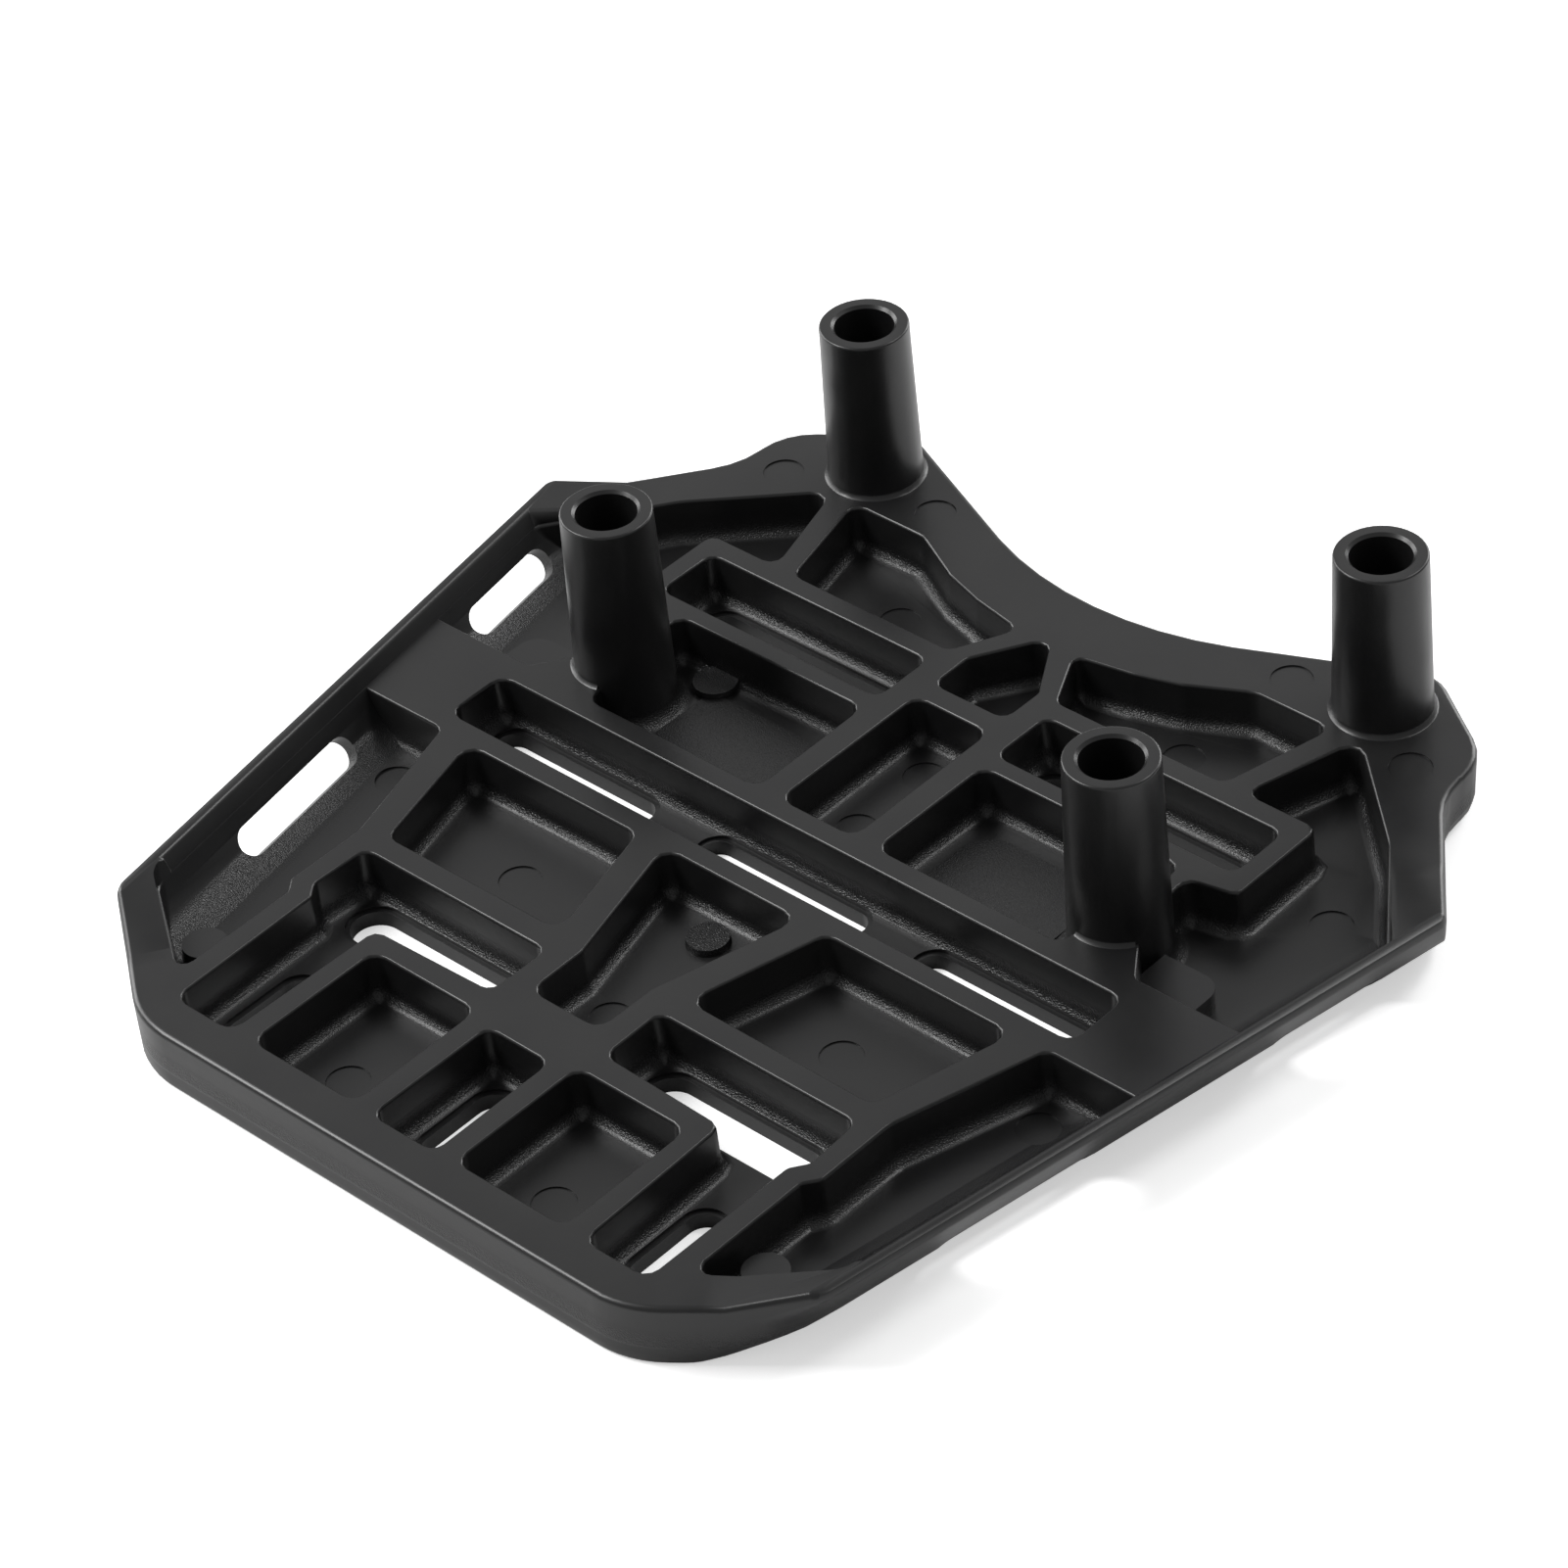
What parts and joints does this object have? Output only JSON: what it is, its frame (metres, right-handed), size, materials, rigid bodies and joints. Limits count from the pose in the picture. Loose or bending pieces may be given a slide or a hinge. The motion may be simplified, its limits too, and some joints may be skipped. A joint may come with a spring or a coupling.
{
  "type": "motorcycle rear luggage rack",
  "caption": "Ribbed cast rack deck with strap slots through its floor and side flanges, raised side rims, a hollow rear edge and tubular mounting bosses.",
  "frame": {"origin": "centre of the plan box, on the deck face that lies down: the part is stored as it lies in the picture, deck face down and bosses up", "axes": "+Z out of the ribbed side along the bosses, +Y towards the hollow rear edge, +X to the side; the casting is a mirror image of itself in the YZ plane"},
  "size_m": [0.2348, 0.2284, 0.0515],
  "materials": {
    "coated_casting": "satin black powder coat on cast aluminium"
  },
  "bodies": {
    "root": {"rack_casting": "coated_casting"}
  },
  "joints": []
}
